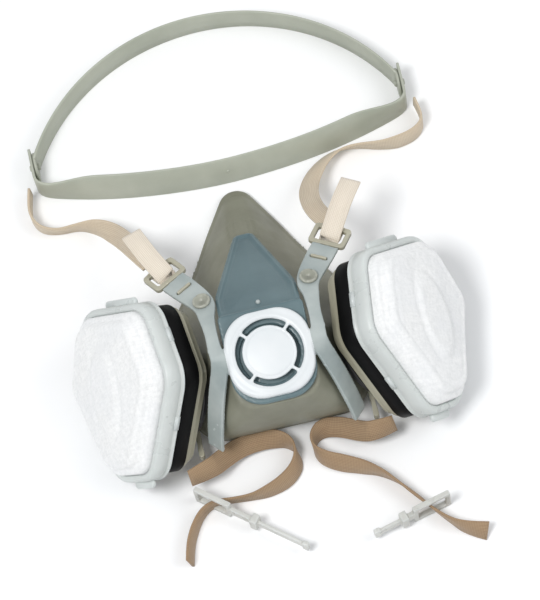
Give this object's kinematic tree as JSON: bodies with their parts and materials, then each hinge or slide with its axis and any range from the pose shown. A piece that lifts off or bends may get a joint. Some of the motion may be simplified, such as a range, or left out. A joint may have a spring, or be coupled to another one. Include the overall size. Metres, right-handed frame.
{
  "type": "half-face respirator",
  "caption": "Half-face respirator lying face-up: soft facepiece, exhalation valve under a harness yoke, splayed cartridges with prefilter pads, head cradle and neck straps.",
  "frame": {"origin": "middle of the footprint of the mask and head cradle, on the surface that it lies on", "axes": "+Y from chin to nose and on to the head cradle, +Z out of the mask's front, +X to the right seen from the front"},
  "size_m": [0.2005, 0.2967, 0.0733],
  "materials": {
    "elastomer": "matte",
    "panel_plastic": "satin",
    "yoke_plastic": "translucent satin",
    "stud_plastic": "satin",
    "buckle_plastic": "satin",
    "valve_rubber": "smooth",
    "gasket_rubber": "matte",
    "cup_plastic": "satin",
    "carbon": "granular",
    "label_film": "gloss",
    "retainer_plastic": "clear",
    "filter_felt": "nonwoven",
    "cradle_plastic": "translucent matt",
    "webbing": "woven elastic",
    "clip_plastic": "translucent"
  },
  "bodies": {
    "mask": {"facepiece": "elastomer", "front_panel": "panel_plastic", "exhalation_valve_seat": "panel_plastic", "harness_yoke": "yoke_plastic", "snap_stud_left": "stud_plastic", "upper_buckle_left": "buckle_plastic", "inhalation_port_left": "cup_plastic", "cartridge_gasket_left": "gasket_rubber", "cartridge_cup_left": "cup_plastic", "sorbent_bed_left": "carbon", "cartridge_grid_left": "cup_plastic", "label_band_left": "label_film", "lower_strap_left": "webbing", "lower_keeper_left": "buckle_plastic", "snap_stud_right": "stud_plastic", "upper_buckle_right": "buckle_plastic", "inhalation_port_right": "cup_plastic", "cartridge_gasket_right": "gasket_rubber", "cartridge_cup_right": "cup_plastic", "sorbent_bed_right": "carbon", "cartridge_grid_right": "cup_plastic", "label_band_right": "label_film", "lower_strap_right": "webbing", "lower_keeper_right": "buckle_plastic"},
    "exhalation_flap": {"exhalation_valve_flap": "valve_rubber"},
    "harness": {"cradle_back_band": "cradle_plastic", "cradle_peg_left": "clip_plastic", "upper_strap_left": "webbing", "upper_tail_left": "webbing", "cradle_peg_right": "clip_plastic", "upper_strap_right": "webbing", "upper_tail_right": "webbing"},
    "crown": {"cradle_crown_band": "cradle_plastic"},
    "clip_hook": {"neck_clip_hook": "clip_plastic"},
    "clip_loop": {"neck_clip_loop": "clip_plastic"},
    "inlet_flap_left": {"inhalation_valve_left": "valve_rubber"},
    "retainer_left": {"filter_retainer_left": "retainer_plastic"},
    "prefilter_left": {"prefilter_pad_left": "filter_felt"},
    "inlet_flap_right": {"inhalation_valve_right": "valve_rubber"},
    "retainer_right": {"filter_retainer_right": "retainer_plastic"},
    "prefilter_right": {"prefilter_pad_right": "filter_felt"}
  },
  "joints": [
    {"name": "exhalation_flap_lift", "type": "slide", "parent": "mask", "child": "exhalation_flap", "axis": [0, -0.2419, 0.9703], "range_m": [0, 0.0018], "stiffness_N_per_m": 40, "springref_m": -0.0004},
    {"name": "inlet_flap_lift_left", "type": "slide", "parent": "mask", "child": "inlet_flap_left", "axis": [0.788, 0.18, -0.5888], "range_m": [0, 0.0014], "stiffness_N_per_m": 40, "springref_m": -0.0006},
    {"name": "retainer_pull_left", "type": "slide", "parent": "mask", "child": "retainer_left", "axis": [-0.788, -0.18, 0.5888], "range_m": [0, 0.03]},
    {"name": "prefilter_lift_left", "type": "slide", "parent": "mask", "child": "prefilter_left", "axis": [-0.788, -0.18, 0.5888], "range_m": [0, 0.018]},
    {"name": "inlet_flap_lift_right", "type": "slide", "parent": "mask", "child": "inlet_flap_right", "axis": [-0.788, 0.18, -0.5888], "range_m": [0, 0.0014], "stiffness_N_per_m": 40, "springref_m": -0.0006},
    {"name": "retainer_pull_right", "type": "slide", "parent": "mask", "child": "retainer_right", "axis": [0.788, -0.18, 0.5888], "range_m": [0, 0.03]},
    {"name": "prefilter_lift_right", "type": "slide", "parent": "mask", "child": "prefilter_right", "axis": [0.788, -0.18, 0.5888], "range_m": [0, 0.018]},
    {"name": "harness_swing", "type": "hinge", "parent": "mask", "child": "harness", "pos_m": [0, -0.02503, 0.046], "axis": [1, 0, 0], "range_deg": [0, 95]},
    {"name": "crown_swing", "type": "hinge", "parent": "harness", "child": "crown", "pos_m": [0, 0.06347, 0.0075], "axis": [1, 0, 0], "range_deg": [0, 85]},
    {"name": "clip_hook_swivel", "type": "hinge", "parent": "mask", "child": "clip_hook", "pos_m": [-0.0415, -0.12923, 0.007], "axis": [0, 0, 1], "range_deg": [-8, 8]},
    {"name": "clip_loop_swivel", "type": "hinge", "parent": "mask", "child": "clip_loop", "pos_m": [0.0565, -0.15583, 0.007], "axis": [0, 0, 1], "range_deg": [-8, 8]}
  ],
  "couplings": [
    {"joint": "prefilter_lift_left", "follows": "retainer_pull_left", "ratio": 0.6},
    {"joint": "prefilter_lift_right", "follows": "retainer_pull_right", "ratio": 0.6}
  ]
}
